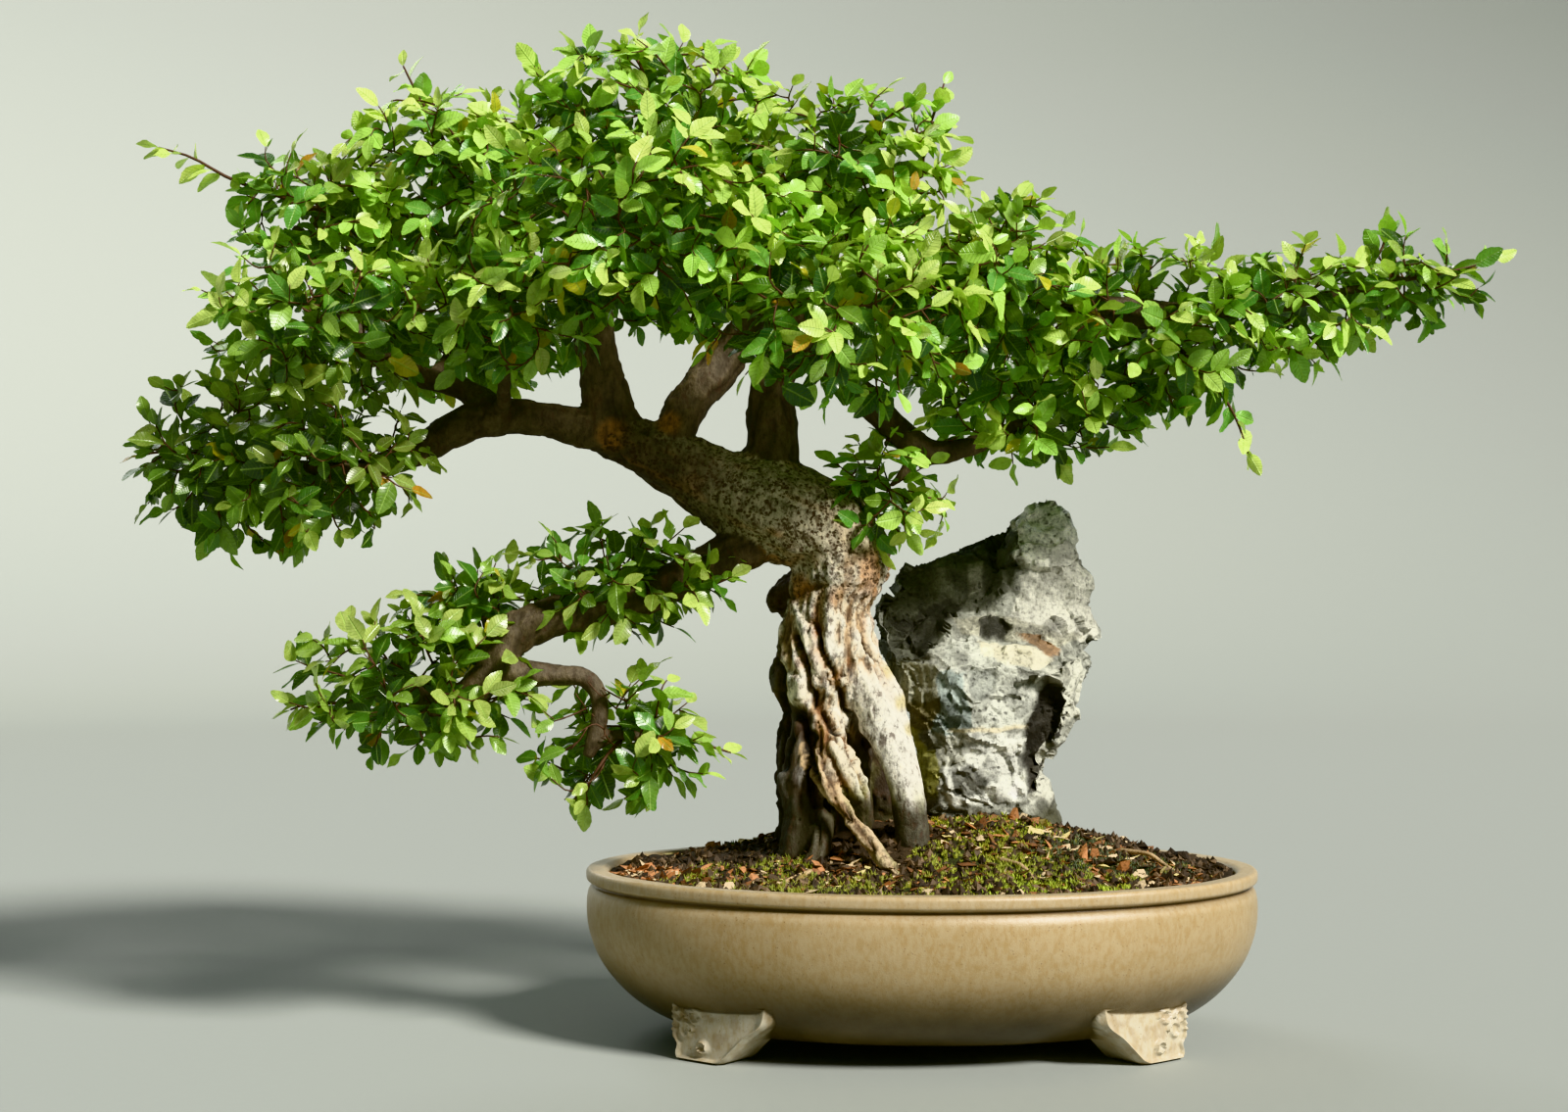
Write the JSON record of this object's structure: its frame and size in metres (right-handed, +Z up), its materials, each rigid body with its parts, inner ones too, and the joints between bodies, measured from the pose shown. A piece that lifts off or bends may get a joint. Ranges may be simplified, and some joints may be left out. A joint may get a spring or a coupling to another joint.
{
  "type": "chinese elm bonsai",
  "caption": "Chinese elm bonsai: a leaning trunk with leafy sprays, roots over soil and a grey rock in an oval footed stoneware pot.",
  "frame": {"origin": "middle of the whole plant's bounding box, at the level of the pot's foot soles", "axes": "+X to the viewer's right along the pot's long side and the tree's longest branches, +Y away from the viewer, +Z up"},
  "size_m": [0.8634, 0.3702, 0.6271],
  "materials": {
    "stoneware": "unglazed satin",
    "screen": "matte",
    "soil": "rough, damp",
    "bark": "rough bark",
    "stone": "rough limestone",
    "leaf": "waxy leaf"
  },
  "bodies": {
    "root": {"pot": "stoneware", "drain_screen_left": "screen", "drain_screen_right": "screen", "soil": "soil", "tree_wood": "bark", "rock": "stone", "leaves_crown_top": "leaf", "leaves_crown_left": "leaf", "leaves_crown_right": "leaf", "leaves_crown_front": "leaf", "leaves_crown_back": "leaf", "leaves_left_high": "leaf", "leaves_left_mid": "leaf", "leaves_left_back": "leaf", "leaves_left_low": "leaf", "leaves_left_front": "leaf", "leaves_mid_left": "leaf", "leaves_mid_right": "leaf", "leaves_right_mid": "leaf", "leaves_right_back": "leaf", "leaves_right_low": "leaf", "leaves_right_far": "leaf", "leaves_right_out": "leaf", "leaves_right_tip": "leaf", "leaves_right_hang": "leaf", "leaves_low_near": "leaf", "leaves_low_far": "leaf", "leaves_low_mid": "leaf", "leaves_low_under": "leaf"}
  },
  "joints": []
}
